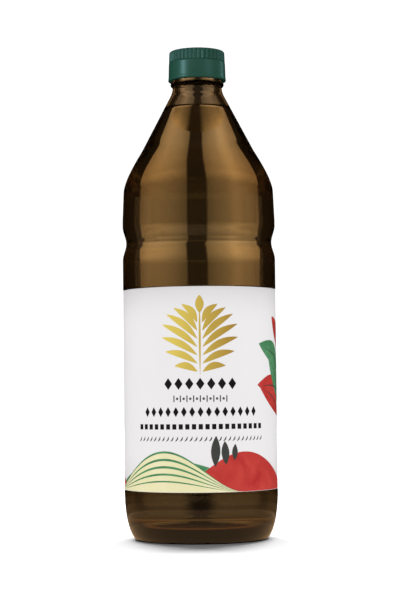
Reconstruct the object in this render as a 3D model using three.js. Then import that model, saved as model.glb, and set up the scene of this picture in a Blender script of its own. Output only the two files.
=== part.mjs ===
// A 750 ml vinegar bottle: brown glass, the vinegar in it, a label round it and a ribbed screw cap.
// Millimetres, +Z up. The origin is on the ground, at the centre of the ring that the bottle rests on.
// Each profile is drawn as (radius, height) and turned about the bottle's axis.
import * as THREE from 'three';

// Glass, outside, from the ground up
const BODY_RADIUS = 39;
const PUNT_RISE = 4; // how far the middle of the base is pushed up
const PUNT_CREST_RADIUS = 22; // where the push-up starts to fall to the ring
const RING_INNER_RADIUS = 31.2;
const RING_OUTER_RADIUS = 33.4;
const HEEL_FOOT = { radius: 36.8, height: 3 }; // the curve leaves the ground towards this point
const HEEL_CHEEK = { radius: BODY_RADIUS, height: 13 }; // and reaches the wall from this one
const HEEL_TOP = 24;
const GROOVE_HEIGHT = 150.6; // centre of the waist groove
const GROOVE_DEPTH = 1.8;
const GROOVE_HALF_WIDTH = 8.8;
const TAPER_START = 162; // above this the wall starts to lean in
const SHOULDER_START = { radius: 38.35, height: 177 };
const SHOULDER_TURN = { radius: 37.9, height: 183.4 };
const SHOULDER_END_HEIGHT = 197.8;
const CONE_POINT = { radius: 14.59, height: 225 }; // a place on the straight cone
const CONE_SLOPE = 0.5235; // radius lost for each millimetre of height
const NECK_RADIUS = 12.7;
const NECK_START = 226; // the cone begins to turn into the neck
const NECK_CORNER = 228.6; // where cone and neck would meet without the blend
const NECK_STRAIGHT = 230.6;
const BEAD_BOTTOM = 231.3; // the ring of glass under the cap
const BEAD_TOP = 233.8;
const BEAD_RADIUS = 13.75;
const BEAD_PULL = 0.35; // how far past the bead its curve is pulled
const FINISH_RADIUS = 12.5; // the plain mouth that the cap goes over
const MOUTH_HEIGHT = 247.5;
const LIP_ROUND = 0.5;

// Glass, inside
const WALL = 3.5;
const CONE_WALL = 3.6; // measured level, so about 3.2 mm square to the glass
const MOUTH_BORE_RADIUS = 9.7;
const FLOOR_CREST_HEIGHT = PUNT_RISE + 6; // the inside of the base over the push-up
const FLOOR_LOW = { radius: 27, height: 7.4 };
const FLOOR_CORNER = { radius: 35.1, height: 7.8 };
const FLOOR_TOP = 19;
const INNER_GROOVE_DEPTH = 1.4;
const INNER_SHOULDER_TURN = { radius: 34.5, height: 182 };
const INNER_SHOULDER_START = { inset: 0.5, height: 174 };

// Vinegar
const LIQUID_LEVEL = 220.5;
const CLEARANCE = 0.3; // between pieces that touch

// Label
const LABEL_BOTTOM = 25.5;
const LABEL_TOP = 126.4;
const LABEL_THICKNESS = 0.25;
const PANEL_RADIUS = BODY_RADIUS - LABEL_THICKNESS - CLEARANCE; // the sunk band that it sits in
const PANEL_MARGIN = 0.35;
const PANEL_STEP = 0.4;

// Cap
const CAP_RIM_HEIGHT = BEAD_TOP + 0.4;
const CAP_TOP_HEIGHT = 249.6;
const CAP_BORE_RADIUS = FINISH_RADIUS + CLEARANCE;
const CAP_FLARE_RADIUS = 14.85;
const CAP_FLARE_HEIGHT = 0.9;
const CAP_SKIRT_BOTTOM = { radius: 14.7, height: 235.6 };
const CAP_LEDGE = { radius: 14.5, height: 243.4 }; // the ribs end here
const CAP_RIB_FOOT = { radius: 14.45, height: 244 };
const CAP_RIB_TOP = { radius: 14.25, height: 248.3 };
const CAP_TOP_ROUND = 1.2;
const CAP_TOP_CORNER = 0.3; // share of the rounding left at its middle
const RIB_COUNT = 40;
const RIB_DEPTH = 0.45;

// Fineness
const TURN_STEPS = 48;
const CURVE_STEPS = 6;
const SHOULDER_STEPS = 8;
const GROOVE_STEPS = 8;
const STEPS_PER_RIB = 3; // two on the crest and one in the valley

const point = (radius, height) => new THREE.Vector2(radius, height);
const coneRadius = (height) => CONE_POINT.radius + (CONE_POINT.height - height) * CONE_SLOPE;

// A curve from one point to another, pulled towards the ones between, without its first point.
function curve(from, pulls, to, steps) {
  const ends = [from, ...pulls, to].map(({ radius, height }) => point(radius, height));
  const Bezier = pulls.length === 1 ? THREE.QuadraticBezierCurve : THREE.CubicBezierCurve;
  return new Bezier(...ends).getPoints(steps).slice(1);
}

// A waist whose depth follows one wave of a cosine, from its lower edge to its upper one.
function groove(wallRadius, depth) {
  const points = [];
  for (let step = 0; step <= GROOVE_STEPS; step++) {
    const across = (2 * step) / GROOVE_STEPS - 1;
    const sunk = (depth * (1 + Math.cos(Math.PI * across))) / 2;
    points.push(point(wallRadius - sunk, GROOVE_HEIGHT + across * GROOVE_HALF_WIDTH));
  }
  return points;
}

// The outside of the glass, from the middle of the base to the lip.
function outerLine() {
  const ringInner = { radius: RING_INNER_RADIUS, height: 0 };
  const ringOuter = { radius: RING_OUTER_RADIUS, height: 0 };
  const puntMiddle = { radius: 0, height: PUNT_RISE };
  const puntCrest = { radius: PUNT_CREST_RADIUS, height: PUNT_RISE };
  const heelTop = { radius: BODY_RADIUS, height: HEEL_TOP };
  const shoulderEnd = { radius: coneRadius(SHOULDER_END_HEIGHT), height: SHOULDER_END_HEIGHT };
  const neckStart = { radius: coneRadius(NECK_START), height: NECK_START };
  const neckCorner = { radius: NECK_RADIUS, height: NECK_CORNER };
  const neckEnd = { radius: NECK_RADIUS, height: NECK_STRAIGHT };
  const beadFoot = { radius: NECK_RADIUS, height: BEAD_BOTTOM };
  const beadHead = { radius: FINISH_RADIUS, height: BEAD_TOP };
  const beadPulls = [
    { radius: BEAD_RADIUS + BEAD_PULL, height: BEAD_BOTTOM },
    { radius: BEAD_RADIUS + BEAD_PULL, height: BEAD_TOP },
  ];
  return [
    point(0, PUNT_RISE),
    ...curve(puntMiddle, [puntCrest], ringInner, CURVE_STEPS),
    point(RING_OUTER_RADIUS, 0),
    ...curve(ringOuter, [HEEL_FOOT, HEEL_CHEEK], heelTop, SHOULDER_STEPS),
    point(BODY_RADIUS, LABEL_BOTTOM - PANEL_MARGIN - PANEL_STEP),
    point(PANEL_RADIUS, LABEL_BOTTOM - PANEL_MARGIN),
    point(PANEL_RADIUS, LABEL_TOP + PANEL_MARGIN),
    point(BODY_RADIUS, LABEL_TOP + PANEL_MARGIN + PANEL_STEP),
    ...groove(BODY_RADIUS, GROOVE_DEPTH),
    point(BODY_RADIUS, TAPER_START),
    point(SHOULDER_START.radius, SHOULDER_START.height),
    ...curve(SHOULDER_START, [SHOULDER_TURN], shoulderEnd, SHOULDER_STEPS),
    point(neckStart.radius, NECK_START),
    ...curve(neckStart, [neckCorner], neckEnd, CURVE_STEPS / 2),
    point(NECK_RADIUS, BEAD_BOTTOM),
    ...curve(beadFoot, beadPulls, beadHead, CURVE_STEPS),
    point(FINISH_RADIUS, MOUTH_HEIGHT - LIP_ROUND),
    point(FINISH_RADIUS - LIP_ROUND, MOUTH_HEIGHT),
  ];
}

// The inside of the glass from the shoulder down to the middle of the floor, shrunk by a gap.
function cavityLine(gap) {
  const radius = BODY_RADIUS - WALL - gap;
  const shoulderEnd = {
    radius: coneRadius(SHOULDER_END_HEIGHT) - CONE_WALL - gap,
    height: SHOULDER_END_HEIGHT,
  };
  const shoulderTurn = { radius: INNER_SHOULDER_TURN.radius - gap, height: INNER_SHOULDER_TURN.height };
  const shoulderStart = { radius: radius - INNER_SHOULDER_START.inset, height: INNER_SHOULDER_START.height };
  const floorTop = { radius, height: FLOOR_TOP };
  const floorCorner = { radius: FLOOR_CORNER.radius - gap, height: FLOOR_CORNER.height + gap };
  const floorLow = { radius: FLOOR_LOW.radius, height: FLOOR_LOW.height + gap };
  const floorTurn = { radius: FLOOR_LOW.radius / 2, height: FLOOR_CREST_HEIGHT + gap };
  const floorMiddle = { radius: 0, height: FLOOR_CREST_HEIGHT + gap };
  return [
    point(shoulderEnd.radius, shoulderEnd.height),
    ...curve(shoulderEnd, [shoulderTurn], shoulderStart, CURVE_STEPS),
    point(radius, TAPER_START),
    ...groove(radius, INNER_GROOVE_DEPTH).reverse(),
    point(radius, FLOOR_TOP),
    ...curve(floorTop, [floorCorner], floorLow, CURVE_STEPS),
    ...curve(floorLow, [floorTurn], floorMiddle, CURVE_STEPS / 2),
  ];
}

// A closed line of points turned about the upright axis.
function turned(profile) {
  return new THREE.LatheGeometry(profile, TURN_STEPS).rotateX(Math.PI / 2);
}

function bottleGlass() {
  const boreBottom = CONE_POINT.height + (CONE_POINT.radius - CONE_WALL - MOUTH_BORE_RADIUS) / CONE_SLOPE;
  return turned([
    ...outerLine(),
    point(MOUTH_BORE_RADIUS + LIP_ROUND, MOUTH_HEIGHT),
    point(MOUTH_BORE_RADIUS, MOUTH_HEIGHT - LIP_ROUND),
    point(MOUTH_BORE_RADIUS, boreBottom),
    ...cavityLine(0),
  ]);
}

// Filled to the level that shows in the cone.
function vinegar() {
  const surfaceRadius = coneRadius(LIQUID_LEVEL) - CONE_WALL - CLEARANCE;
  const downwards = [point(0, LIQUID_LEVEL), point(surfaceRadius, LIQUID_LEVEL), ...cavityLine(CLEARANCE)];
  return turned(downwards.reverse());
}

// One sheet right round the bottle, in the sunk band.
function label() {
  const inner = BODY_RADIUS - LABEL_THICKNESS;
  return turned([
    point(inner, LABEL_BOTTOM),
    point(BODY_RADIUS, LABEL_BOTTOM),
    point(BODY_RADIUS, LABEL_TOP),
    point(inner, LABEL_TOP),
    point(inner, LABEL_BOTTOM),
  ]);
}

// A moulded cap: a smooth skirt, then ribs that end in a small ledge. Every third step round the ribbed
// part is pressed in, which leaves flat crests with V-shaped valleys between them.
function screwCap() {
  const ribbed = [
    point(CAP_RIB_FOOT.radius, CAP_RIB_FOOT.height),
    point(CAP_RIB_TOP.radius, CAP_RIB_TOP.height),
  ];
  const below = [
    point(0, MOUTH_HEIGHT + CLEARANCE),
    point(CAP_BORE_RADIUS, MOUTH_HEIGHT + CLEARANCE),
    point(CAP_BORE_RADIUS, CAP_RIM_HEIGHT),
    point(CAP_FLARE_RADIUS, CAP_RIM_HEIGHT),
    point(CAP_FLARE_RADIUS, CAP_RIM_HEIGHT + CAP_FLARE_HEIGHT),
    point(CAP_SKIRT_BOTTOM.radius, CAP_SKIRT_BOTTOM.height),
    point(CAP_LEDGE.radius, CAP_LEDGE.height),
  ];
  const cornerInset = CAP_TOP_CORNER * CAP_TOP_ROUND;
  const above = [
    point(CAP_RIB_TOP.radius - cornerInset, CAP_TOP_HEIGHT - cornerInset),
    point(CAP_RIB_TOP.radius - CAP_TOP_ROUND, CAP_TOP_HEIGHT),
    point(0, CAP_TOP_HEIGHT),
  ];
  const profile = [...below, ...ribbed, ...above];
  const geometry = new THREE.LatheGeometry(profile, RIB_COUNT * STEPS_PER_RIB);
  const position = geometry.attributes.position;
  for (let index = 0; index < position.count; index++) {
    const row = index % profile.length;
    const step = Math.floor(index / profile.length);
    const inRibs = row >= below.length && row < below.length + ribbed.length;
    if (!inRibs || step % STEPS_PER_RIB !== 1) continue;
    const inwards = 1 - RIB_DEPTH / profile[row].x;
    position.setX(index, position.getX(index) * inwards);
    position.setZ(index, position.getZ(index) * inwards);
  }
  return geometry.rotateX(Math.PI / 2);
}

// The pieces, each with its colour and finish
const pieces = [
  ['bottle_glass', bottleGlass(), { color: 0x6b4b26, roughness: 0.06, metalness: 0 }],
  ['vinegar', vinegar(), { color: 0x8a6232, roughness: 0.05, metalness: 0 }],
  ['wrap_label', label(), { color: 0xecebe8, roughness: 0.55, metalness: 0 }],
  ['screw_cap', screwCap(), { color: 0x2f5a4c, roughness: 0.4, metalness: 0 }],
];

const group = new THREE.Group();
for (const [name, geometry, finish] of pieces) {
  const mesh = new THREE.Mesh(geometry, new THREE.MeshStandardMaterial(finish));
  mesh.name = name;
  group.add(mesh);
}

export default group;
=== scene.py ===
# %% [markdown]
# # A vinegar bottle
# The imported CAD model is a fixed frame, and every piece below is made in metres in that frame, with +Z up
# along the bottle and the printed front facing -Y. The bottle has four pieces: brown glass, the vinegar in
# it, a paper label with its print, and a ribbed screw cap. Each of them is turned about the upright axis, so
# most of the work lies in good profiles, in honest glass, and in what stands round the bottle for the glass
# to show.

# %% Load the frame
import math

import bmesh
import bpy
import numpy as np
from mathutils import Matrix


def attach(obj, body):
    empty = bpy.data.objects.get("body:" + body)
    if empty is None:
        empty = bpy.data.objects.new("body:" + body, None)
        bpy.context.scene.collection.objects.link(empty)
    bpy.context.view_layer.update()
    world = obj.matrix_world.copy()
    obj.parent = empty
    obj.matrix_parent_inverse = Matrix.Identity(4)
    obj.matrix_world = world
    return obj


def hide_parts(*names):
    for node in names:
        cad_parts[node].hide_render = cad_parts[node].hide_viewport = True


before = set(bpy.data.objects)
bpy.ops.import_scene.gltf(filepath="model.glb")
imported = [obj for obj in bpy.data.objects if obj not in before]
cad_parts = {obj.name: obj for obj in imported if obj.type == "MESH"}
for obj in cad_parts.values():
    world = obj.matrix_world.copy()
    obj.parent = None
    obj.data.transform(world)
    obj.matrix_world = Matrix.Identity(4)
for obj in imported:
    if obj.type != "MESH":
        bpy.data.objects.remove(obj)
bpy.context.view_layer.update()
print("CAD nodes:", sorted(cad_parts))

# %% [markdown]
# ## Small tools
# Sizes are given in millimetres and turned to metres when a mesh is made. Blender works in linear light, but
# colours are easier to name as sRGB hex, so one function turns them. Another adds a node to a material.

# %% Colours and nodes
MM = 0.001


def linear(code):
    """An sRGB hex colour in linear light: ((c + 0.055) / 1.055) ** 2.4, or c / 12.92 where c is dark."""
    parts = [int(code[k:k + 2], 16) / 255 for k in (1, 3, 5)]
    return tuple(((c + 0.055) / 1.055) ** 2.4 if c > 0.04045 else c / 12.92 for c in parts) + (1.0,)


def add_node(tree, kind, settings=None, links=None):
    """Add a node. A setting fills a socket by name or number, or one of the node's own properties. stops are
    the (place, grey) pairs of a ramp."""
    made = tree.nodes.new(kind)
    for key, value in (settings or {}).items():
        if key == "stops":
            for stop, (place, level) in enumerate(value):
                spot = made.color_ramp.elements[stop] if stop < 2 else made.color_ramp.elements.new(place)
                spot.position, spot.color = place, (level, level, level, 1.0)
        elif isinstance(key, int) or key in made.inputs:
            made.inputs[key].default_value = value
        else:
            setattr(made, key, value)
    for key, source in (links or {}).items():
        tree.links.new(source, made.inputs[key])
    return made


def new_material(name):
    """An empty node material and its tree."""
    material = bpy.data.materials.new(name)
    material.use_nodes = True
    material.node_tree.nodes.clear()
    return material, material.node_tree


# %% [markdown]
# ## From arrays to meshes
# Every shape is a grid of points, worked out by numpy as whole arrays. The grid's quads follow from its size,
# so one function builds them all. Rows of points that fall together, as at a pole, are merged afterwards, and
# on closed shapes the faces are turned outwards.

# %% Build a mesh from grids of points
MERGE_DISTANCE = 1e-7


def grid_faces(rows, columns, wrap):
    """Quads of a grid: point (i, j) joins (i + 1, j), (i + 1, j + 1) and (i, j + 1). wrap joins the last
    column to the first."""
    i, j = np.meshgrid(np.arange(rows - 1), np.arange(columns if wrap else columns - 1), indexing="ij")
    next_j = (j + 1) % columns
    corners = [i * columns + j, (i + 1) * columns + j, (i + 1) * columns + next_j, i * columns + next_j]
    return np.stack(corners, -1).reshape(-1, 4)


def build_mesh(name, grids, wrap, closed):
    """One mesh from several grids of points in millimetres. Open sheets face away from the bottle's axis."""
    faces, start = [], 0
    for grid in grids:
        quads = grid_faces(grid.shape[0], grid.shape[1], wrap) + start
        start += grid.shape[0] * grid.shape[1]
        if not closed:
            first = grid.reshape(-1, 3)[quads[len(quads) // 2] - start]
            normal = np.cross(first[1] - first[0], first[3] - first[0])
            quads = quads if normal[:2] @ first[0][:2] > 0 else quads[:, ::-1]
        faces.append(quads)
    points = np.vstack([grid.reshape(-1, 3) for grid in grids]) * MM
    mesh = bpy.data.meshes.new(name)
    mesh.from_pydata(points.tolist(), [], np.vstack(faces).tolist())
    work = bmesh.new()
    work.from_mesh(mesh)
    bmesh.ops.remove_doubles(work, verts=work.verts, dist=MERGE_DISTANCE)
    if closed:
        bmesh.ops.recalc_face_normals(work, faces=work.faces)
    work.to_mesh(mesh)
    work.free()
    mesh.polygons.foreach_set("use_smooth", np.ones(len(mesh.polygons), bool))
    return mesh


def add_piece(name, grids, material, wrap=True, closed=True, stands_for=None):
    """A piece of the bottle: its mesh, its finish, the body it rides on and the CAD node it stands for."""
    mesh = build_mesh(name, grids, wrap, closed)
    mesh.materials.append(material)
    piece = bpy.data.objects.new(name, mesh)
    bpy.context.scene.collection.objects.link(piece)
    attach(piece, "root")
    if stands_for:
        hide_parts(stands_for)
    mesh.calc_loop_triangles()
    top = max(v.co.z for v in mesh.vertices) / MM
    print(f"{name}: {len(mesh.loop_triangles)} triangles, up to z {top:.2f} mm")
    return piece


# %% Profiles
def bezier(corners, steps):
    """A Bezier curve: every corner counts by its Bernstein share, C(n, k) t^k (1 - t)^(n - k)."""
    corners = np.array(corners, float)
    order = len(corners) - 1
    t = np.linspace(0, 1, steps + 1)[:, None]
    return sum(math.comb(order, k) * t**k * (1 - t) ** (order - k) * corners[k] for k in range(order + 1))


def joined(*lines):
    """Lines of (radius, height) end to end, without the points that repeat."""
    line = np.vstack([np.atleast_2d(part) for part in lines])
    return line[np.append(True, np.linalg.norm(np.diff(line, axis=0), axis=1) > 1e-6)]


def turned(profile, steps):
    """A profile turned about the upright axis: (r, z) at angle a goes to (r cos a, r sin a, z)."""
    angle = np.linspace(0, 2 * np.pi, steps, endpoint=False)[None, :]
    radius, height = profile[:, :1], profile[:, 1:]
    return np.stack([radius * np.cos(angle), radius * np.sin(angle), height + 0 * angle], -1)


# %% [markdown]
# ## The glass
# The bottle is blown amber glass with a wall of about 3.5 mm. It could be an outside with a Solidify wall,
# but then the inside would copy every dip of the outside, while real blown glass is smoother inside. So the
# wall has two lines of its own, the same as in the CAD, only finer. They meet at the lip and form one closed
# shell.

# %% Sizes of the glass, in mm
BODY_RADIUS = 39.0
PUNT_RISE, PUNT_FLAT = 4.0, 22.0
RING_INNER, RING_OUTER = 31.2, 33.4
HEEL_TOP = 24.0
HEEL = [(RING_OUTER, 0), (36.8, 3), (BODY_RADIUS, 13), (BODY_RADIUS, HEEL_TOP)]
LABEL_BOTTOM, LABEL_TOP = 25.5, 126.4
PANEL_RADIUS = 38.55
PANEL_MARGIN, PANEL_STEP = 0.35, 0.4
GROOVE_HEIGHT, GROOVE_DEPTH, GROOVE_HALF_WIDTH = 150.6, 1.8, 8.8
TAPER_START = 162.0
SHOULDER_START, SHOULDER_TURN, SHOULDER_END_HEIGHT = (38.35, 177.0), (37.9, 183.4), 197.8
CONE_RADIUS, CONE_HEIGHT, CONE_SLOPE = 14.59, 225.0, 0.5235
NECK_RADIUS, NECK_START, NECK_CORNER, NECK_STRAIGHT = 12.7, 226.0, 228.6, 230.6
BEAD_BOTTOM, BEAD_TOP, BEAD_RADIUS, BEAD_PULL = 231.3, 233.8, 13.75, 0.35
FINISH_RADIUS, MOUTH_HEIGHT, LIP_ROUND = 12.5, 247.5, 0.5
WALL, CONE_WALL, BORE_RADIUS = 3.5, 3.6, 9.7
INNER_GROOVE_DEPTH = 1.4
FLOOR_CREST, FLOOR_LOW, FLOOR_CORNER, FLOOR_TOP = 10.0, (27.0, 7.4), (35.1, 7.8), 19.0
INNER_SHOULDER_TURN, INNER_SHOULDER_START = (34.5, 182.0), (35.0, 174.0)
TURN_STEPS = 192


def cone_radius(height):
    """The straight cone: its radius falls by CONE_SLOPE for every millimetre of height."""
    return CONE_RADIUS + (CONE_HEIGHT - height) * CONE_SLOPE


def waist(wall_radius, depth, steps=36):
    """The waist groove: the wall sinks by depth * (1 + cos(pi t)) / 2, with t from -1 to 1 across it."""
    t = np.linspace(-1, 1, steps + 1)
    sunk = depth * (1 + np.cos(np.pi * t)) / 2
    return np.stack([wall_radius - sunk, GROOVE_HEIGHT + t * GROOVE_HALF_WIDTH], 1)


def straight(start, end, steps):
    """Points evenly along a straight line."""
    return bezier([start, end], steps)


# %% The outside line and the inside line
def outside_line():
    """From the middle of the base over ring, heel, label panel, waist, shoulder, cone and neck to the lip."""
    panel_low, panel_high = LABEL_BOTTOM - PANEL_MARGIN, LABEL_TOP + PANEL_MARGIN
    shoulder_end = (cone_radius(SHOULDER_END_HEIGHT), SHOULDER_END_HEIGHT)
    neck_start = (cone_radius(NECK_START), NECK_START)
    step_low, step_high = panel_low - PANEL_STEP, panel_high + PANEL_STEP
    bead_pull = BEAD_RADIUS + BEAD_PULL
    lip, lip_edge = MOUTH_HEIGHT - LIP_ROUND, FINISH_RADIUS - LIP_ROUND
    return joined(
        bezier([(0, PUNT_RISE), (PUNT_FLAT, PUNT_RISE), (RING_INNER, 0)], 14),
        straight((RING_INNER, 0), (RING_OUTER, 0), 3),
        bezier(HEEL, 22),
        straight((BODY_RADIUS, HEEL_TOP), (BODY_RADIUS, step_low), 1),
        bezier([(BODY_RADIUS, step_low), (BODY_RADIUS, panel_low), (PANEL_RADIUS, panel_low)], 4),
        straight((PANEL_RADIUS, panel_low), (PANEL_RADIUS, panel_high), 10),
        bezier([(PANEL_RADIUS, panel_high), (BODY_RADIUS, panel_high), (BODY_RADIUS, step_high)], 4),
        waist(BODY_RADIUS, GROOVE_DEPTH),
        straight((BODY_RADIUS, GROOVE_HEIGHT + GROOVE_HALF_WIDTH), (BODY_RADIUS, TAPER_START), 2),
        straight((BODY_RADIUS, TAPER_START), SHOULDER_START, 6),
        bezier([SHOULDER_START, SHOULDER_TURN, shoulder_end], 24),
        straight(shoulder_end, neck_start, 14),
        bezier([neck_start, (NECK_RADIUS, NECK_CORNER), (NECK_RADIUS, NECK_STRAIGHT)], 10),
        bezier([(NECK_RADIUS, BEAD_BOTTOM), (bead_pull, BEAD_BOTTOM), (bead_pull, BEAD_TOP),
                (FINISH_RADIUS, BEAD_TOP)], 12),
        straight((FINISH_RADIUS, BEAD_TOP), (FINISH_RADIUS, lip), 4),
        bezier([(FINISH_RADIUS, lip), (FINISH_RADIUS, MOUTH_HEIGHT), (lip_edge, MOUTH_HEIGHT)], 4),
    )


def inside_line(push=0.0):
    """From the shoulder's top down the inner wall to the middle of the floor, push further into the glass."""
    wall = BODY_RADIUS - WALL + push
    top = (cone_radius(SHOULDER_END_HEIGHT) - CONE_WALL + push, SHOULDER_END_HEIGHT)
    shoulder_turn = (INNER_SHOULDER_TURN[0] + push, INNER_SHOULDER_TURN[1])
    shoulder_start = (INNER_SHOULDER_START[0] + push, INNER_SHOULDER_START[1])
    corner = (FLOOR_CORNER[0] + push, FLOOR_CORNER[1] - push)
    low = (FLOOR_LOW[0], FLOOR_LOW[1] - push)
    crest = (0, FLOOR_CREST - push)
    return joined(
        bezier([top, shoulder_turn, shoulder_start], 20),
        straight(shoulder_start, (wall, TAPER_START), 4),
        waist(wall, INNER_GROOVE_DEPTH)[::-1],
        straight((wall, GROOVE_HEIGHT - GROOVE_HALF_WIDTH), (wall, FLOOR_TOP), 12),
        bezier([(wall, FLOOR_TOP), corner, low], 18),
        bezier([low, (FLOOR_LOW[0] / 2, FLOOR_CREST - push), crest], 10),
    )


# %% [markdown]
# ### Amber container glass, blown in a mould
# Iron, sulphur and carbon make it brown, and it is the same all through, so its colour belongs in the
# volume and not on the surface. That gives thin parts a light amber and thick parts nearly black. The mould
# leaves the outside a little wavy, which shows as faint upright streaks in what is seen through it.

# %% The glass material
GLASS_WAVE_MM, GLASS_STRETCH = 22.0, 0.12
GLASS_DEPTH_COLOUR = "#CEA400"
GLASS_DENSITY = 285.0

glass_material, tree = new_material("amber_container_glass_blown")
place = add_node(tree, "ShaderNodeTexCoord")
stretched = add_node(tree, "ShaderNodeMapping", {"Scale": (1, 1, GLASS_STRETCH)},
                     {"Vector": place.outputs["Object"]})
waves = add_node(tree, "ShaderNodeTexNoise", {"Scale": 1000 / GLASS_WAVE_MM, "Detail": 2.0},
                 {"Vector": stretched.outputs[0]})
wavy = add_node(tree, "ShaderNodeBump", {"Strength": 0.12, "Distance": 0.25 * MM},
                {"Height": waves.outputs[0]})
shine = add_node(tree, "ShaderNodeBsdfPrincipled",
                 {"Base Color": (1, 1, 1, 1), "Roughness": 0.0, "Transmission Weight": 1.0, "IOR": 1.52},
                 {"Normal": wavy.outputs[0]})
depth = add_node(tree, "ShaderNodeVolumeAbsorption",
                 {"Color": linear(GLASS_DEPTH_COLOUR), "Density": GLASS_DENSITY})
add_node(tree, "ShaderNodeOutputMaterial", links={"Surface": shine.outputs[0], "Volume": depth.outputs[0]})

# %% Make the glass
BORE_EASE = 1.0

bore_bottom = CONE_HEIGHT + (CONE_RADIUS - CONE_WALL - BORE_RADIUS) / CONE_SLOPE
bore_foot = (BORE_RADIUS, bore_bottom + BORE_EASE)
cone_head = (BORE_RADIUS + BORE_EASE * CONE_SLOPE, bore_bottom - BORE_EASE)
lip = MOUTH_HEIGHT - LIP_ROUND
glass_line = joined(
    outside_line(),
    bezier([(BORE_RADIUS + LIP_ROUND, MOUTH_HEIGHT), (BORE_RADIUS, MOUTH_HEIGHT), (BORE_RADIUS, lip)], 4),
    straight((BORE_RADIUS, lip), bore_foot, 4),
    bezier([bore_foot, (BORE_RADIUS, bore_bottom), cone_head], 4),
    straight(cone_head, (cone_radius(SHOULDER_END_HEIGHT) - CONE_WALL, SHOULDER_END_HEIGHT), 12),
    inside_line(),
)
add_piece("brown_glass_bottle", [turned(glass_line, TURN_STEPS)], glass_material,
          stands_for="bottle_glass")

# %% [markdown]
# ## The vinegar
# A liquid fills its bottle to the glass. Two surfaces in the same place would flicker and an air gap would
# show as silver, so the vinegar reaches a little way into the wall. Light is bent by the glass where it
# enters the wall and by the vinegar soon after, and the two together bend it as the real pair does. At the
# top the liquid climbs the glass in a small meniscus.

# %% [markdown]
# ### Filtered vinegar, a clear pale amber
# It is nearly all water, so it is as clear as water and bends light as water does. Its faint straw tint grows
# with depth, and so it lies in the volume too.

# %% The vinegar material
VINEGAR_COLOUR = "#FBEE9A"
VINEGAR_DENSITY = 8.0
HAZE_MM, HAZE_COLOUR = 30.0, "#FBF6EC"

vinegar_material, tree = new_material("vinegar_clear_amber")
place = add_node(tree, "ShaderNodeTexCoord")
haze = add_node(tree, "ShaderNodeTexNoise", {"Scale": 1000 / HAZE_MM, "Detail": 3.0},
                {"Vector": place.outputs["Object"]})
tint = add_node(tree, "ShaderNodeMix", {"data_type": "RGBA", 6: (1, 1, 1, 1), 7: linear(HAZE_COLOUR)},
                {0: haze.outputs[0]})
shine = add_node(tree, "ShaderNodeBsdfPrincipled",
                 {"Roughness": 0.0, "Transmission Weight": 1.0, "IOR": 1.34},
                 {"Base Color": tint.outputs[2]})
depth = add_node(tree, "ShaderNodeVolumeAbsorption",
                 {"Color": linear(VINEGAR_COLOUR), "Density": VINEGAR_DENSITY})
add_node(tree, "ShaderNodeOutputMaterial", links={"Surface": shine.outputs[0], "Volume": depth.outputs[0]})

# %% Make the vinegar
LIQUID_LEVEL = 219.4
REACH = 0.15
MENISCUS_HEIGHT, MENISCUS_FADE = 0.5, 0.8

edge = cone_radius(LIQUID_LEVEL + MENISCUS_HEIGHT) - CONE_WALL + REACH
across = np.linspace(0, edge, 28)
climb = LIQUID_LEVEL + MENISCUS_HEIGHT * np.exp((across - edge) / MENISCUS_FADE)
vinegar_line = joined(
    np.stack([across, climb], 1),
    straight((edge, climb[-1]),
             (cone_radius(SHOULDER_END_HEIGHT) - CONE_WALL + REACH, SHOULDER_END_HEIGHT), 12),
    inside_line(REACH),
)
add_piece("vinegar_filling", [turned(vinegar_line, TURN_STEPS)], vinegar_material,
          stands_for="vinegar")

# %% [markdown]
# ## The label paper
# One sheet goes right round the bottle and is glued to itself at the back. A plain ring would have no seam,
# so the sheet follows a path that runs a little over a full turn and steps outwards over its own start.

# %% [markdown]
# ### Coated label paper
# Paper with a thin layer of china clay, pressed smooth. The clay makes it an even, cool white with a soft
# sheen, and the fibres below still leave a very fine unevenness in it.

# %% The paper material
FIBRE_MM, CLOUD_MM = 0.7, 25.0
PAPER_DULL, PAPER_LIGHT = "#E3E1E2", "#E7E5E6"

paper_material, tree = new_material("coated_label_paper")
place = add_node(tree, "ShaderNodeTexCoord")
fibre = add_node(tree, "ShaderNodeTexNoise", {"Scale": 1000 / FIBRE_MM, "Detail": 3.0},
                 {"Vector": place.outputs["Object"]})
cloud = add_node(tree, "ShaderNodeTexNoise", {"Scale": 1000 / CLOUD_MM, "Detail": 1.0},
                 {"Vector": place.outputs["Object"]})
tone = add_node(tree, "ShaderNodeMix", {"data_type": "RGBA", 6: linear(PAPER_DULL), 7: linear(PAPER_LIGHT)},
                {0: cloud.outputs[0]})
rough = add_node(tree, "ShaderNodeMapRange", {"To Min": 0.42, "To Max": 0.58}, {"Value": fibre.outputs[0]})
grain = add_node(tree, "ShaderNodeBump", {"Strength": 0.15, "Distance": 0.02 * MM},
                 {"Height": fibre.outputs[0]})
shine = add_node(tree, "ShaderNodeBsdfPrincipled", {"IOR": 1.48, "Specular IOR Level": 0.4},
                 {"Base Color": tone.outputs[2], "Roughness": rough.outputs[0], "Normal": grain.outputs[0]})
add_node(tree, "ShaderNodeOutputMaterial", links={"Surface": shine.outputs[0]})

# %% Make the paper
PAPER_OUTER, PAPER_THICKNESS = 38.86, 0.1
OVERLAP_MM, LAP_RISE = 8.0, 0.08
LAP_STEP, LAP_STEP_WIDTH = 0.995, 0.01
SEAM_BEARING = 96.0


def sheet_path(radius, turns):
    """The lapped path: one turn at radius, then LAP_RISE further out. past goes from 0 to 1 over the step,
    and past * past * (3 - 2 past) eases it."""
    past = np.clip((turns - LAP_STEP) / LAP_STEP_WIDTH, 0, 1)
    out = radius + LAP_RISE * past * past * (3 - 2 * past)
    angle = 2 * np.pi * turns + np.radians(SEAM_BEARING)
    return np.stack([out * np.cos(angle), out * np.sin(angle)], -1)


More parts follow.
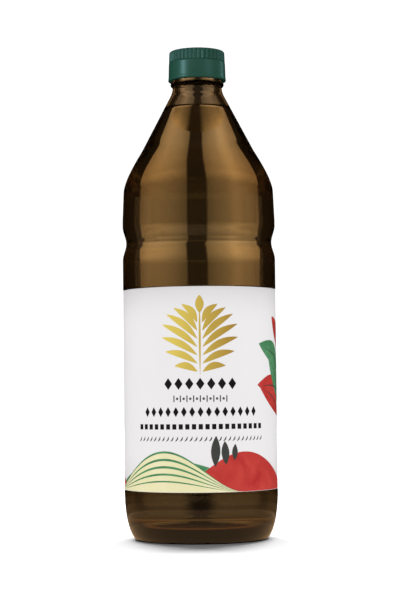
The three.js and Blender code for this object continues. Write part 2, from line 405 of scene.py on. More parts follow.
turns = np.linspace(0, 1 + OVERLAP_MM / (2 * np.pi * PAPER_OUTER), 420)
outer, inner = sheet_path(PAPER_OUTER, turns), sheet_path(PAPER_OUTER - PAPER_THICKNESS, turns)
heights = np.linspace(LABEL_BOTTOM, LABEL_TOP, 6)
face = np.stack([np.column_stack([outer, np.full(len(turns), z)]) for z in heights])
back = np.stack([np.column_stack([inner, np.full(len(turns), z)]) for z in heights[::-1]])
paper = np.concatenate([face, back, face[:1]])
ends = [np.stack([face[:, k], back[::-1, k]]) for k in (0, -1)]
add_piece("label_paper_wrap", [paper, *ends], paper_material, wrap=False,
          stands_for="wrap_label")

# %% [markdown]
# ## The print
# The ink lies on the paper in flat fields. Each motif is a function of two parameters in the label's own
# coordinates, arc length and height, and is then laid round the bottle a few hundredths of a millimetre
# proud of the paper. Crossing motifs lie on layers of their own. All of it is plain ornament: leaves,
# lozenges, rules and rolling hills.

# %% Motifs in label coordinates
INK_RADIUS, INK_STEP = 38.885, 0.018
FIELD_FOOT, FIELD_TIP = LABEL_BOTTOM + 0.15, 0.004


def on_label(flat, layer):
    """Arc length s goes to the angle s / PAPER_OUTER from the front, and height stays as it is."""
    radius = INK_RADIUS + layer * INK_STEP
    angle = flat[..., 0] / PAPER_OUTER
    return np.stack([radius * np.sin(angle), -radius * np.cos(angle), flat[..., 1]], -1)


def blade(base, turn, length, width, bend=0.0, kind="leaf", steps=(16, 5)):
    """u runs from base along the blade, at turn degrees right of upright, and v runs across it from -1 to 1.
    Half the width is width / 2 times sin(pi u)^0.85 for a leaf, sqrt(4 u (1 - u)) for a round,
    1 - |2u - 1| for a lozenge and 1 for a bar. The spine is pushed sideways by bend * sin(pi u)."""
    u, v = np.meshgrid(np.linspace(0, 1, steps[0]), np.linspace(-1, 1, steps[1]), indexing="ij")
    shares = {
        "leaf": np.sin(np.pi * u) ** 0.85,
        "round": np.sqrt(np.clip(4 * u * (1 - u), 0, 1)),
        "lozenge": 1 - np.abs(2 * u - 1),
        "bar": np.ones_like(u),
    }
    along = length * u
    aside = v * width / 2 * shares[kind] + bend * np.sin(np.pi * u)
    c, s = math.cos(math.radians(turn)), math.sin(math.radians(turn))
    return np.stack([base[0] + along * s + aside * c, base[1] + along * c - aside * s], -1)


def field(start, end, height, lean=1.0, low=0.0, steps=(100, 6)):
    """A rolling field on the label's lower edge. Its top is height * (1 - cos(2 pi u^lean)) / 2, and low is
    the share of that where the ink starts, so that a high share draws a stripe along the crest."""
    across = np.linspace(FIELD_TIP, 1 - FIELD_TIP, steps[0])
    u, v = np.meshgrid(across, np.linspace(low, 1, steps[1]), indexing="ij")
    crest = height * (1 - np.cos(2 * np.pi * u**lean)) / 2
    return np.stack([start + (end - start) * u, FIELD_FOOT + v * crest], -1)


def motif_row(numbers, pitch, height, long, wide, shift=0.0, turn=0, **style):
    """Blades side by side at one height: number k stands k * pitch + shift along the label."""
    return [blade((k * pitch + shift, height), turn, long, wide, **style) for k in numbers]


# %% [markdown]
# ### Printing inks
# Offset inks are thin, so the paper's sheen comes through. The large fields look hand painted: their colour
# drifts between two shades over a centimetre or so. The gold drifts from light at its left to dark at its
# right.

# %% The ink materials
def ink(name, first, second, blot_mm):
    """A printed colour that drifts between two shades in blots of blot_mm."""
    material, tree = new_material(name)
    place = add_node(tree, "ShaderNodeTexCoord")
    blots = add_node(tree, "ShaderNodeTexNoise", {"Scale": 1000 / blot_mm, "Detail": 4.0, "Distortion": 0.6},
                     {"Vector": place.outputs["Object"]})
    spread = add_node(tree, "ShaderNodeMapRange", {"From Min": 0.25, "From Max": 0.75},
                      {"Value": blots.outputs[0]})
    tone = add_node(tree, "ShaderNodeMix", {"data_type": "RGBA", 6: linear(first), 7: linear(second)},
                    {0: spread.outputs[0]})
    shine = add_node(tree, "ShaderNodeBsdfPrincipled", {"Roughness": 0.5, "Specular IOR Level": 0.35},
                     {"Base Color": tone.outputs[2]})
    add_node(tree, "ShaderNodeOutputMaterial", links={"Surface": shine.outputs[0]})
    return material


GOLD_BLOT_MM, GOLD_UNEVEN = 12.0, 12.0
GOLD_START, GOLD_END = -14.0, 26.0
GOLD_LIGHT, GOLD_DARK = "#E2CB58", "#A27A1C"

gold, tree = new_material("gold_printing_ink")
place = add_node(tree, "ShaderNodeTexCoord")
apart = add_node(tree, "ShaderNodeSeparateXYZ", links={0: place.outputs["Object"]})
blots = add_node(tree, "ShaderNodeTexNoise", {"Scale": 1000 / GOLD_BLOT_MM, "Detail": 3.0},
                 {"Vector": place.outputs["Object"]})
drift = add_node(tree, "ShaderNodeMath", {"operation": "MULTIPLY_ADD", 1: GOLD_UNEVEN * MM},
                 {0: blots.outputs[0], 2: apart.outputs[0]})
share = add_node(tree, "ShaderNodeMapRange", {"From Min": GOLD_START * MM, "From Max": GOLD_END * MM},
                 {"Value": drift.outputs[0]})
tone = add_node(tree, "ShaderNodeMix", {"data_type": "RGBA", 6: linear(GOLD_LIGHT), 7: linear(GOLD_DARK)},
                {0: share.outputs[0]})
shine = add_node(tree, "ShaderNodeBsdfPrincipled", {"Roughness": 0.4, "Specular IOR Level": 0.5},
                 {"Base Color": tone.outputs[2]})
add_node(tree, "ShaderNodeOutputMaterial", links={"Surface": shine.outputs[0]})

red = ink("red_printing_ink", "#B01A18", "#C83A30", 9)
green = ink("green_printing_ink", "#2C6F42", "#5A9A6A", 11)
cream = ink("cream_printing_ink", "#DDD9A6", "#EBE2BC", 14)
black = ink("black_printing_ink", "#141315", "#201E20", 6)
grey = ink("grey_printing_ink", "#4A4848", "#5C5A5A", 6)
shade = ink("shadow_printing_ink", "#33403A", "#45423F", 8)

# %% The gold sprig
STEM_FOOT, STEM_LENGTH, STEM_WIDTH = 82.5, 37.0, 1.0
TIP_FOOT, TIP_LENGTH, TIP_WIDTH = 113.2, 9.0, 4.2
PAIR_REACHES = (12.0, 17.5, 20.5, 21.5, 20.0, 16.5, 12.0)
PAIR_FOOT, PAIR_PITCH, PAIR_ASIDE = 84.5, 4.0, 1.2
PAIR_TURN, TURN_LESS, PAIR_WIDTH, PAIR_BEND = 76, 6, 3.5, -1.5

sprig = [
    blade((0, STEM_FOOT), 0, STEM_LENGTH, STEM_WIDTH, steps=(36, 3)),
    blade((0, TIP_FOOT), 0, TIP_LENGTH, TIP_WIDTH, steps=(14, 5)),
]
for k, reach in enumerate(PAIR_REACHES):
    for side in (-1, 1):
        foot = (side * PAIR_ASIDE, PAIR_FOOT + PAIR_PITCH * k)
        turn = side * (PAIR_TURN - TURN_LESS * k)
        sprig.append(blade(foot, turn, reach, PAIR_WIDTH, side * PAIR_BEND, steps=(26, 5)))

# %% Rows of lozenges, dots and rules
small = {"kind": "bar", "steps": (4, 3)}
row_of_dark = (
    motif_row(range(-3, 4), pitch=5.4, height=75.7, long=5.8, wide=4.2, kind="lozenge")
    + motif_row(range(-7, 8), pitch=4.1, height=62.4, long=4.9, wide=2.9, kind="lozenge")
    + motif_row(range(-10, 11), pitch=3.3, height=57.6, long=2.1, wide=2.6, shift=-1.0, turn=90, **small)
)
row_of_grey = (
    motif_row(range(-4, 5), pitch=3.3, height=69.7, long=3.2, wide=0.6, **small)
    + motif_row(range(-4, 4), pitch=3.3, height=71.3, long=1.3, wide=1.3, shift=1.0, turn=90,
                kind="round", steps=(8, 5))
    + motif_row(range(-14, 15), pitch=2.4, height=50.4, long=3.0, wide=0.7, shift=-0.9, turn=32,
                bend=0.4, steps=(8, 3))
)

# %% Rolling fields along the lower edge, with slim trees
FURROW_STEP = 3.6
# Each field has its start and end along the label, its height and its lean.
far_green = [field(-75, 45, 15.5, 1.0), field(40, 122, 15, 1.1), field(-122, -60, 12)]
near_red = [field(-14, 74, 19.5, 0.8), field(-122, -40, 15.5, 1.2), field(84, 122, 10)]
near_cream = [field(-66, 22, 20, 1.12), field(60, 122, 14, 0.9)]
furrows = [field(-66, 22, 20 - FURROW_STEP * k, 1.12, low=0.95 - 0.02 * k) for k in range(5)]
furrows += [field(60, 122, 14 - FURROW_STEP * k, 0.9, low=0.93 - 0.03 * k) for k in range(3)]
# Each tree has its place along the label and up it, its turn, its height and its width.
TREES = ((7, 38, 2, 15, 4.6), (12.5, 39, -3, 11.5, 4.0), (17, 41, 3, 8, 3.0))
trees = [blade((along, up), turn, tall, wide) for along, up, turn, tall, wide in TREES]

# %% Leafy branches at the sides
# Each branch has its place along the label and up it, and the side to which it leans.
BRANCHES = ((61, 62, 1), (-100, 62, -1))
BRANCH_LENGTH, BRANCH_WIDTH, BRANCH_BEND = 44, 1.1, -3.0
# Each leaf has its height above the branch's foot, its turn, its length and its width.
BRANCH_LEAVES = ((0, -58, 30, 11), (7, -34, 30, 12), (12, -82, 27, 10), (24, -64, 28, 11), (34, -36, 20, 9),
                 (30, 14, 22, 10))
LEAF_ASIDE, LEAF_BEND = 2.5, 2.0
RIB_SHARE, RIB_WIDTH, RIB_BEND = 0.85, 0.6, 1.7

leaf_red, leaf_green, ribs = [], [], []
for start, foot, side in BRANCHES:
    ribs.append(blade((start, foot), 0, BRANCH_LENGTH, BRANCH_WIDTH, side * BRANCH_BEND, steps=(44, 3)))
    for k, (up, turn, long, wide) in enumerate(BRANCH_LEAVES):
        base = (start - side * LEAF_ASIDE, foot + up)
        leaves = leaf_green if k % 2 else leaf_red
        leaves.append(blade(base, side * turn, long, wide, side * LEAF_BEND, steps=(34, 11)))
        ribs.append(blade(base, side * turn, RIB_SHARE * long, RIB_WIDTH, side * RIB_BEND, steps=(30, 3)))

# %% Lay the print on the paper
prints = {
    "gold_sprig_print": (gold, [(sprig, 0)]),
    "green_print": (green, [(far_green, 0), (leaf_green, 2), (furrows, 3)]),
    "red_print": (red, [(near_red, 1), (leaf_red, 1)]),
    "cream_print": (cream, [(near_cream, 2)]),
    "shadow_print": (shade, [(trees, 4), (ribs, 3)]),
    "black_lozenge_print": (black, [(row_of_dark, 0)]),
    "grey_rule_print": (grey, [(row_of_grey, 0)]),
}
for name, (material, layers) in prints.items():
    sheets = [on_label(motif, layer) for motifs, layer in layers for motif in motifs]
    add_piece(name, sheets, material, wrap=False, closed=False)

# %% [markdown]
# ## The cap
# Round its upper half run forty ribs for the fingers. They could be a bump, but their outline shows against
# the light, so they are in the mesh: the turned profile has its radius cut by a wave round the axis. Below
# them a ledge leads to a smooth skirt that flares at the rim.

# %% [markdown]
# ### Moulded polypropylene, dark green
# It is opaque and waxy, with a satin skin as fine as the mould's. The pigment flows unevenly into the mould,
# so both the colour and the shine drift a little over a centimetre.

# %% The cap material
SKIN_MM, FLOW_MM = 0.5, 9.0
CAP_DARK, CAP_LIGHT = "#194637", "#1F4F40"

cap_material, tree = new_material("polypropylene_moulded")
place = add_node(tree, "ShaderNodeTexCoord")
skin = add_node(tree, "ShaderNodeTexNoise", {"Scale": 1000 / SKIN_MM, "Detail": 2.0},
                {"Vector": place.outputs["Object"]})
flow = add_node(tree, "ShaderNodeTexNoise", {"Scale": 1000 / FLOW_MM, "Detail": 2.0},
                {"Vector": place.outputs["Object"]})
tone = add_node(tree, "ShaderNodeMix", {"data_type": "RGBA", 6: linear(CAP_DARK), 7: linear(CAP_LIGHT)},
                {0: flow.outputs[0]})
rough = add_node(tree, "ShaderNodeMapRange", {"To Min": 0.3, "To Max": 0.42}, {"Value": flow.outputs[0]})
grain = add_node(tree, "ShaderNodeBump", {"Strength": 0.2, "Distance": 0.02 * MM},
                 {"Height": skin.outputs[0]})
shine = add_node(tree, "ShaderNodeBsdfPrincipled", {"IOR": 1.49, "Specular IOR Level": 0.6},
                 {"Base Color": tone.outputs[2], "Roughness": rough.outputs[0], "Normal": grain.outputs[0]})
add_node(tree, "ShaderNodeOutputMaterial", links={"Surface": shine.outputs[0]})

# %% Make the cap
CAP_RIM, CAP_TOP, CAP_BORE, CAP_CEILING = 234.2, 249.6, 12.8, 247.8
FLARE_RADIUS, RIM_ROUND, RIM_EDGE = 14.85, 0.25, 0.9
SKIRT_BOTTOM, SKIRT_EASE = (14.7, 235.6), 0.5
LEDGE, LEDGE_ROUND = (14.5, 243.3), 0.3
RIB_FOOT, RIB_FOOT_PULL = (14.42, 244.0), (13.92, 243.7)
RIB_TOP, TOP_ROUND = (14.25, 248.4), 1.2
RIB_COUNT, RIB_DEPTH, STEPS_PER_RIB = 40, 0.6, 12
FOOT_FADE, HEAD_FADE, BORE_MARGIN = 0.3, 0.9, 0.3


def ribbed(profile, steps):
    """The turned profile with its radius cut by RIB_DEPTH * valley(a) * share(z). valley is a narrow wave
    round the axis, ((1 + cos(RIB_COUNT a)) / 2)^2, and share is 1 along the ribs and fades at their two
    ends. The bore stays round."""
    points = turned(profile, steps)
    angle = np.arctan2(points[..., 1], points[..., 0])
    radius, height = np.hypot(points[..., 0], points[..., 1]), points[..., 2]
    valley = ((1 + np.cos(RIB_COUNT * angle)) / 2) ** 2
    foot = np.clip((height - RIB_FOOT[1] + FOOT_FADE) / FOOT_FADE, 0, 1)
    head = np.clip((RIB_TOP[1] + HEAD_FADE - height) / HEAD_FADE, 0, 1)
    cut = RIB_DEPTH * valley * foot * head * (radius > CAP_BORE + BORE_MARGIN)
    points[..., :2] *= (1 - cut / np.maximum(radius, 1e-6))[..., None]
    return points


skirt_start = (SKIRT_BOTTOM[0], SKIRT_BOTTOM[1] + SKIRT_EASE)
ledge_end = (LEDGE[0] - LEDGE_ROUND, LEDGE[1] + LEDGE_ROUND)
top_edge = (RIB_TOP[0] - TOP_ROUND, CAP_TOP)
cap_line = joined(
    straight((0, CAP_CEILING), (CAP_BORE, CAP_CEILING), 4),
    straight((CAP_BORE, CAP_CEILING), (CAP_BORE, CAP_RIM), 3),
    bezier([(CAP_BORE, CAP_RIM), (FLARE_RADIUS, CAP_RIM), (FLARE_RADIUS, CAP_RIM + RIM_ROUND)], 5),
    bezier([(FLARE_RADIUS, CAP_RIM + RIM_EDGE), (FLARE_RADIUS, SKIRT_BOTTOM[1]), skirt_start], 6),
    straight(skirt_start, LEDGE, 8),
    bezier([LEDGE, (LEDGE[0], ledge_end[1]), ledge_end], 4),
    bezier([ledge_end, RIB_FOOT_PULL, RIB_FOOT], 6),
    straight(RIB_FOOT, RIB_TOP, 10),
    bezier([RIB_TOP, (RIB_TOP[0], CAP_TOP), top_edge], 8),
    straight(top_edge, (0, CAP_TOP), 6),
)
add_piece("ribbed_screw_cap", [ribbed(cap_line, RIB_COUNT * STEPS_PER_RIB)], cap_material,
          stands_for="screw_cap")

# %% [markdown]
# ## The studio
# The photograph is white all round, yet the glass is dark at its sides and down its middle. That is how
# bottles are lit: a bright sweep stands behind with a dark gap down its middle, and dark cloth hangs at
# either side. The full bottle works as a lens that squeezes all of this into its width, with left and right
# changed over. Sweep, cloth and table top below are seen only by rays that have passed through glass, so the
# picture's white ground stays clean.

# %% Stage helpers
WHITE = (1.0, 1.0, 1.0, 1.0)


def grey_tone(value):
    """A neutral grey, in linear light."""
    return (value, value, value, 1.0)


def add_stage(name, mesh, material):
    """A thing of the studio, which is no part of the bottle."""
    mesh.materials.append(material)
    made = bpy.data.objects.new(name, mesh)
    bpy.context.scene.collection.objects.link(made)
    return made


def round_card(name, profile, start, end, material, steps=60):
    """A stage card turned about the bottle's axis: the (distance, height) profile swings from start to end
    degrees, from +Y towards +X. Only rays that have passed through glass see it."""
    swing = np.radians(np.linspace(start, end, steps))[None, :]
    distance, height = profile[:, :1], profile[:, 1:]
    grid = np.stack([distance * np.sin(swing), distance * np.cos(swing), height + 0 * swing], -1)
    made = add_stage(name, build_mesh(name, [grid], False, False), material)
    made.visible_camera = made.visible_diffuse = made.visible_glossy = False
    made.visible_shadow = made.visible_volume_scatter = False
    return made


def plain_glow(name, value, colour=WHITE):
    """A surface that gives off an even light."""
    material, tree = new_material(name)
    shader = add_node(tree, "ShaderNodeEmission", {"Color": colour, "Strength": value})
    add_node(tree, "ShaderNodeOutputMaterial", links={"Surface": shader.outputs[0]})
    return material


def table_ring(name, near, far, height, material, start=0, end=360, steps=73):
    """A flat ring just under the table's surface, or a slice of one."""
    return round_card(name, straight((near, height), (far, height), 1), start, end, material, steps)


# %% A card whose glow follows its bearing and its height
def shaded_glow(name, side_stops, rise_stops, strength, least, colour=WHITE):
    """Glow = strength * side * rise + least. side and rise are smooth ramps over the card's own two measures,
    swing for the bearing and rise for the height, each from 0 to 1."""
    material, tree = new_material(name)
    ramps = []
    for measure, stops in (("swing", side_stops), ("rise", rise_stops)):
        along = add_node(tree, "ShaderNodeAttribute", {"attribute_name": measure})
        ramps.append(add_node(tree, "ShaderNodeValToRGB", {"stops": stops}, {0: along.outputs["Fac"]}))
    both = add_node(tree, "ShaderNodeMath", {"operation": "MULTIPLY"},
                    {0: ramps[0].outputs[0], 1: ramps[1].outputs[0]})
    glow = add_node(tree, "ShaderNodeMath", {"operation": "MULTIPLY_ADD", 1: strength, 2: least},
                    {0: both.outputs[0]})
    shader = add_node(tree, "ShaderNodeEmission", {"Color": colour}, {"Strength": glow.outputs[0]})
    add_node(tree, "ShaderNodeOutputMaterial", links={"Surface": shader.outputs[0]})
    return material


def measure_card(card, half_swing, rise_start, rise_end, lean=((0, 0.0),), squeeze=((0, 1.0),)):
    """Give a round card its two measures. swing is 0.5 + squeeze * (bearing - lean) / (2 * half_swing), where
    bearing is in degrees from straight behind the bottle; rise goes from 0 to 1 as distance plus height goes
    from rise_start to rise_end. lean and squeeze are (distance plus height, value) pairs, joined by lines."""
    spots = np.array([v.co for v in card.data.vertices]) / MM
    reach = np.hypot(spots[:, 0], spots[:, 1]) + spots[:, 2]
    lean_here, squeeze_here = (np.interp(reach, *np.array(pairs, float).T) for pairs in (lean, squeeze))
    bearing = np.degrees(np.arctan2(spots[:, 0], spots[:, 1]))
    swings = 0.5 + squeeze_here * (bearing - lean_here) / (2 * half_swing)
    rises = (reach - rise_start) / (rise_end - rise_start)
    for measure, values in (("swing", swings), ("rise", rises)):
        layer = card.data.attributes.new(measure, "FLOAT", "POINT")
        layer.data.foreach_set("value", values.astype(np.float32))


def side_ramp(shape, half_swing):
    """(bearing in degrees, level) pairs as the places of a ramp from 0 to 1."""
    return [(bearing / (2 * half_swing) + 0.5, level) for bearing, level in shape]


# %% Dark cloth at the sides and in front
CLOTH_START, CLOTH_DISTANCE, CLOTH_TOP, CLOTH_HEM = 200.0, 350.0, 900.0, 0.3
WINDOW_LEFT, WINDOW_RIGHT = -25.0, 23.2
CLOTH_FOLD, CLOTH_END = 70, 125
FRONT_HEM = 110
CLOTH_GLOW = 0.035

cloth = plain_glow("dim_studio_cloth", CLOTH_GLOW)
cloth_line = np.array([[CLOTH_START, CLOTH_HEM], [CLOTH_DISTANCE, CLOTH_HEM], [CLOTH_DISTANCE, CLOTH_TOP]])
round_card("cloth_right", cloth_line, WINDOW_RIGHT, CLOTH_FOLD, cloth)
round_card("cloth_left", cloth_line, -CLOTH_FOLD, WINDOW_LEFT, cloth)
round_card("cloth_far_right", cloth_line[1:], CLOTH_FOLD, CLOTH_END, cloth)
round_card("cloth_far_left", cloth_line[1:], -CLOTH_END, -CLOTH_FOLD, cloth)
round_card("cloth_front", straight((CLOTH_DISTANCE, FRONT_HEM), (CLOTH_DISTANCE, CLOTH_TOP), 1),
           CLOTH_END, 360 - CLOTH_END, cloth)

# %% The bright sweep
SWEEP_START, SWEEP_DISTANCE, SWEEP_BEND = 260.0, 600.0, 40
SWEEP_HEM, SWEEP_TOP = 0.2, 700.0
SWING_SPAN, RISE_SPAN = 30.0, 1300.0
SWEEP_GLOW, GAP_GLOW = 1.3, 0.04
# Bearing in degrees and level, with the dark gap between -2.3 and 3.1.
SIDE_SHAPE = ((-24.5, 0.55), (-18, 0.74), (-14, 0.96), (-12, 0.96), (-9, 0.68), (-5, 0.45), (-3, 0.32),
              (-2.3, 0.0), (3.1, 0.0), (3.7, 0.3), (6, 0.45), (9, 0.62), (14, 0.8), (18, 0.76), (22.5, 0.6))
# Distance plus height and level, from the foot of the sweep upwards.
RISE_SHAPE = ((600, 0.88), (645, 0.88), (670, 0.82), (690, 0.94), (706, 0.84), (722, 0.72), (740, 0.54),
              (765, 0.47), (800, 0.42), (845, 0.41), (870, 0.58), (892, 0.62), (930, 0.38))
SWEEP_LEAN = ((640, 0.7), (690, 0.3), (750, 0.0))
SWEEP_SQUEEZE = ((880, 1.0), (930, 1.9))

rise_ramp = [(rise / RISE_SPAN, level) for rise, level in RISE_SHAPE]
sweep_glow = shaded_glow("studio_sweep_glow", side_ramp(SIDE_SHAPE, SWING_SPAN), rise_ramp, SWEEP_GLOW,
                         GAP_GLOW)
bend_start = SWEEP_DISTANCE - SWEEP_BEND
sweep_line = joined(
    straight((SWEEP_START, SWEEP_HEM), (bend_start, SWEEP_HEM), 30),
    bezier([(bend_start, SWEEP_HEM), (SWEEP_DISTANCE, SWEEP_HEM), (SWEEP_DISTANCE, SWEEP_BEND)], 12),
    straight((SWEEP_DISTANCE, SWEEP_BEND), (SWEEP_DISTANCE, SWEEP_TOP), 66),
)
sweep = round_card("bright_sweep", sweep_line, WINDOW_LEFT - 1, WINDOW_RIGHT + 1, sweep_glow, 240)
measure_card(sweep, SWING_SPAN, 0, RISE_SPAN, lean=SWEEP_LEAN, squeeze=SWEEP_SQUEEZE)

# %% A dimmer card low behind the base
LOW_SPAN, LOW_DISTANCE, LOW_TOP, LOW_GLOW = 80.0, 250, 45, 0.115
LOW_SHAPE = ((-80, 1.0), (-31, 1.0), (-26, 0.6), (-20, 0.6), (-16, 1.0), (-4, 1.0), (-1.2, 0.0), (1.6, 0.0),
             (4.5, 1.0), (16, 1.0), (20, 0.6), (26, 0.6), (31, 1.0), (80, 1.0))

low_line = straight((LOW_DISTANCE, SWEEP_HEM), (LOW_DISTANCE, LOW_TOP), 2)
low_glow = shaded_glow("low_card_glow", side_ramp(LOW_SHAPE, LOW_SPAN), ((0, 1.0), (1, 1.0)), LOW_GLOW, 0.0)
low_card = round_card("low_card", low_line, -LOW_SPAN, LOW_SPAN, low_glow, 300)
measure_card(low_card, LOW_SPAN, LOW_DISTANCE, LOW_DISTANCE + LOW_TOP)

# %% [markdown]
# In the photograph the top of the cone shows a thinner dark stripe than the body does, and warmer light
# beside it. One sweep can't give both, so a small warm card stands close behind the cone, where only the
# cone's top shows it.

# %% The warm card behind the top of the cone
HIGH_SPAN, HIGH_DISTANCE, HIGH_FOOT, HIGH_TOP, HIGH_GLOW = 20.0, 100, 186, 208, 1.15
HIGH_START, HIGH_END = -13.5, 14.0
HIGH_SHAPE = ((-16, 0.7), (-13.5, 0.85), (-9, 1.0), (-5.5, 0.8), (-2.3, 0.42), (-0.7, 0.0), (2.4, 0.0),
              (4.1, 0.46), (8, 1.0), (11, 0.9), (15, 0.75))
HIGH_RISE = ((0.0, 1.0), (0.2, 0.6), (0.4, 0.4), (1.0, 0.32))
WARM_WHITE = (1.0, 0.92, 0.72, 1.0)

high_line = straight((HIGH_DISTANCE, HIGH_FOOT), (HIGH_DISTANCE, HIGH_TOP), 12)
high_glow = shaded_glow("high_card_glow", side_ramp(HIGH_SHAPE, HIGH_SPAN), HIGH_RISE, HIGH_GLOW, GAP_GLOW,
                        WARM_WHITE)
high_card = round_card("high_card", high_line, HIGH_START, HIGH_END, high_glow, 120)
measure_card(high_card, HIGH_SPAN, HIGH_DISTANCE + HIGH_FOOT, HIGH_DISTANCE + HIGH_TOP)

# %% The table top as the glass shows it, as glowing rings with painted light and a painted shadow of the bottle
SHADE_HEIGHT, GAP_HEIGHT, PAINTED_REFLECTION_HEIGHT = -0.1, -0.05, -0.2
# Name, inner and outer radius, and glow.
# The glows paint the table's light and the bottle's shadow on it, dimmest in the near ring.
SHADE_RINGS = (("under", 0, 34, 0.4), ("close", 34, 90, 0.4), ("near", 90, 260, 0.1), ("far", 260, 2500, 0.6))
for name, near, far, value in SHADE_RINGS:
    shade_glow = plain_glow(f"table_top_{name}_glow", value)
    table_ring("table_top_" + name, near, far, SHADE_HEIGHT, shade_glow)

# The dark gap of the sweep goes on over the table, towards the bottle.
table_ring("table_gap", 90, 260, GAP_HEIGHT, plain_glow("table_gap_glow", 0.0), start=-1.2, end=1.6, steps=3)

# %% A painted warm reflection on the heel
PAINTED_REFLECTION_COLOUR = (1.0, 0.62, 0.32, 1.0)
PAINTED_REFLECTION_RINGS = (("close", 34, 58, 0.6), ("near", 58, 110, 0.45), ("mid", 110, 190, 0.15),
               ("far", 190, 340, 0.05))
# Warm rings under the table, seen only in reflections, paint a warm reflection on the heel; the floor itself
# is pale.
for name, near, far, value in PAINTED_REFLECTION_RINGS:
    sheen = plain_glow(f"table_sheen_{name}_glow", value, PAINTED_REFLECTION_COLOUR)
    ring = table_ring("table_sheen_" + name, near, far, PAINTED_REFLECTION_HEIGHT, sheen)
    ring.visible_transmission, ring.visible_glossy = False, True

# %% Small near cards, for the two sides
NEAR_GLOW, NEAR_DISTANCE, NEAR_FOOT, NEAR_TOP = 0.85, 150, 20, 196
NEAR_START, NEAR_END = 1.0, 18.0

near_glow = plain_glow("near_card_glow", NEAR_GLOW)
near_line = straight((NEAR_DISTANCE, NEAR_FOOT), (NEAR_DISTANCE, NEAR_TOP), 1)
for middle in (90, -90):
    for way in (-1, 1):
        start, end = sorted((middle + way * NEAR_START, middle + way * NEAR_END))
        round_card(f"near_card_{(middle + way) % 360}", near_line, start, end, near_glow, 8)

# %% The floor
FLOOR_RADIUS = 2500.0
FLOOR_DARK, FLOOR_LIGHT = 0.215, 0.225

floor_material, tree = new_material("pale_matt_floor")
place = add_node(tree, "ShaderNodeTexCoord")
cloud = add_node(tree, "ShaderNodeTexNoise", {"Scale": 6.0}, {"Vector": place.outputs["Object"]})
tone = add_node(tree, "ShaderNodeMix",
                {"data_type": "RGBA", 6: grey_tone(FLOOR_DARK), 7: grey_tone(FLOOR_LIGHT)},
                {0: cloud.outputs[0]})
shader = add_node(tree, "ShaderNodeBsdfDiffuse", links={"Color": tone.outputs[2]})
add_node(tree, "ShaderNodeOutputMaterial", links={"Surface": shader.outputs[0]})

floor_mesh = build_mesh("floor", [turned(np.array([[0, 0], [FLOOR_RADIUS, 0]]), 96)], True, True)
if floor_mesh.polygons[0].normal.z < 0:
    floor_mesh.flip_normals()
floor = add_stage("floor", floor_mesh, floor_material)
floor.visible_glossy = floor.visible_transmission = floor.visible_diffuse = False

# %% [markdown]
# ## Light and camera
# The photographer's tent lights the bottle evenly from all round, so the world glows white, and the glass
# sees it only dimly. Three suns from behind and above light the floor alone. Their directions are the ones
# that leave a short dark shadow close under the front of the base and the rest of the table white. Two soft
# lamps at the sides brighten the label's edges, and three cool ones draw the highlights on the cap.

# %% The world
TENT_GLOW, TENT_IN_GLASS, TENT_IN_PICTURE = 1.04, 0.12, 1.1

world = bpy.data.worlds.new("light_tent")
bpy.context.scene.world = world
world.use_nodes = True
tree = world.node_tree
tree.nodes.clear()
ray = add_node(tree, "ShaderNodeLightPath")
seen = add_node(tree, "ShaderNodeMix", {"data_type": "FLOAT", 2: TENT_GLOW, 3: TENT_IN_PICTURE},
                {0: ray.outputs["Is Camera Ray"]})
level = add_node(tree, "ShaderNodeMix", {"data_type": "FLOAT", 3: TENT_IN_GLASS},
                 {0: ray.outputs["Is Transmission Ray"], 2: seen.outputs[0]})
shader = add_node(tree, "ShaderNodeBackground", {"Color": grey_tone(1.0)}, {"Strength": level.outputs[0]})
add_node(tree, "ShaderNodeOutputWorld", links={"Surface": shader.outputs[0]})
world.cycles_visibility.glossy = False

# %% Lamps
def area_lamp(name, bearing, distance, height, aim, size, radiance):
    """An area lamp at bearing degrees from the front towards +X, turned to a point on the axis at height aim,
    all in millimetres. size is its width and height, and its power is pi * area * radiance."""
    data = bpy.data.lights.new(name, "AREA")
    data.shape = "RECTANGLE"
    data.size, data.size_y = size[0] * MM, size[1] * MM
    data.energy = math.pi * data.size * data.size_y * radiance
    lamp = bpy.data.objects.new(name, data)
    bpy.context.scene.collection.objects.link(lamp)
    swing = math.radians(bearing)
    place = np.array((distance * math.sin(swing), -distance * math.cos(swing), height)) * MM
    way = np.array((0, 0, aim)) * MM - place
    tilt = math.acos(-way[2] / np.linalg.norm(way))
    lamp.location = place
    lamp.rotation_euler = (tilt, 0, math.atan2(way[1], way[0]) - math.pi / 2)
    lamp.visible_camera = lamp.visible_transmission = False
    return lamp


def light_only(lamp, *names):
    """Let a lamp shine on the named things only."""
    things = bpy.data.collections.new("lit_by_" + lamp.name)
    for name in names:
        things.objects.link(bpy.data.objects[name])
    lamp.light_linking.receiver_collection = things


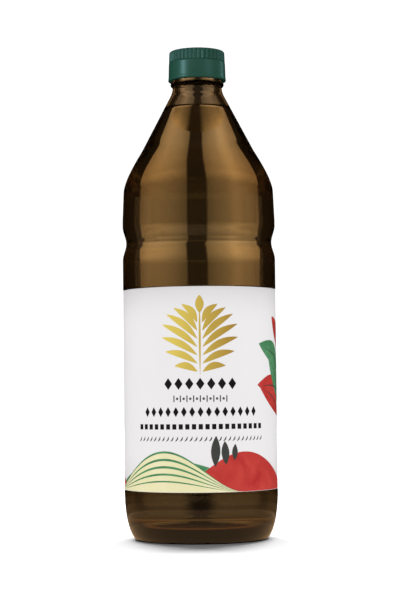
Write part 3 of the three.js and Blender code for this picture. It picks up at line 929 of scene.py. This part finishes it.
# Name, degrees aside and behind the zenith, the sun's width in degrees and its strength.
BACK_LAMPS = (("back_left", -20, 35, 26, 12.2), ("back_right", 20, 35, 26, 12.2), ("back_top", 0, 11, 8, 3.0))
for name, aside, behind, width, glow in BACK_LAMPS:
    data = bpy.data.lights.new(name, "SUN")
    data.energy, data.angle = glow, math.radians(width)
    lamp = bpy.data.objects.new(name, data)
    bpy.context.scene.collection.objects.link(lamp)
    lamp.rotation_euler = (math.radians(-behind), math.radians(aside), 0)
    lamp.visible_glossy = lamp.visible_transmission = False
    light_only(lamp, "floor")

SOFT_BEARING, SOFT_DISTANCE, SOFT_HEIGHT, SOFT_AIM = 70, 1500, 400, 90
SOFT_SIZE, SOFT_RADIANCE = (800, 800), 1.25
for side, bearing in (("left", -SOFT_BEARING), ("right", SOFT_BEARING)):
    lamp = area_lamp("soft_" + side, bearing, SOFT_DISTANCE, SOFT_HEIGHT, SOFT_AIM, SOFT_SIZE, SOFT_RADIANCE)
    lamp.visible_glossy = False
    light_only(lamp, "label_paper_wrap", *prints)

CAP_LAMP_DISTANCE, CAP_LAMP_HEIGHT, CAP_LAMP_AIM, CAP_LAMP_LENGTH = 800, 460, 242, 220
COOL_LIGHT = (0.5, 0.93, 1.0)
# Name, bearing, width and radiance.
CAP_LAMPS = (("lamp_cap_left", -57, 110, 21.0), ("lamp_cap_front", 48, 360, 1.2),
             ("lamp_cap_right", 122, 140, 2.5))
for name, bearing, width, radiance in CAP_LAMPS:
    lamp = area_lamp(name, bearing, CAP_LAMP_DISTANCE, CAP_LAMP_HEIGHT, CAP_LAMP_AIM,
                     (width, CAP_LAMP_LENGTH), radiance)
    lamp.data.color = COOL_LIGHT
    light_only(lamp, "ribbed_screw_cap")

# %% The camera
CAMERA_PLACE, CAMERA_TILT, CAMERA_ROLL = (0.0001, -0.88, 0.0758), 90 + 2.96, 0.6
LENS_MM, SENSOR_MM = 103.0, 36.0

view = bpy.data.cameras.new("camera")
view.lens, view.sensor_width = LENS_MM, SENSOR_MM
view.clip_start, view.clip_end = 0.01, 20.0
camera = bpy.data.objects.new("camera", view)
bpy.context.scene.collection.objects.link(camera)
camera.location = CAMERA_PLACE
camera.rotation_mode = "XYZ"
camera.rotation_euler = (math.radians(CAMERA_TILT), math.radians(CAMERA_ROLL), 0)
bpy.context.scene.camera = camera
bpy.context.scene.view_settings.view_transform = "Standard"
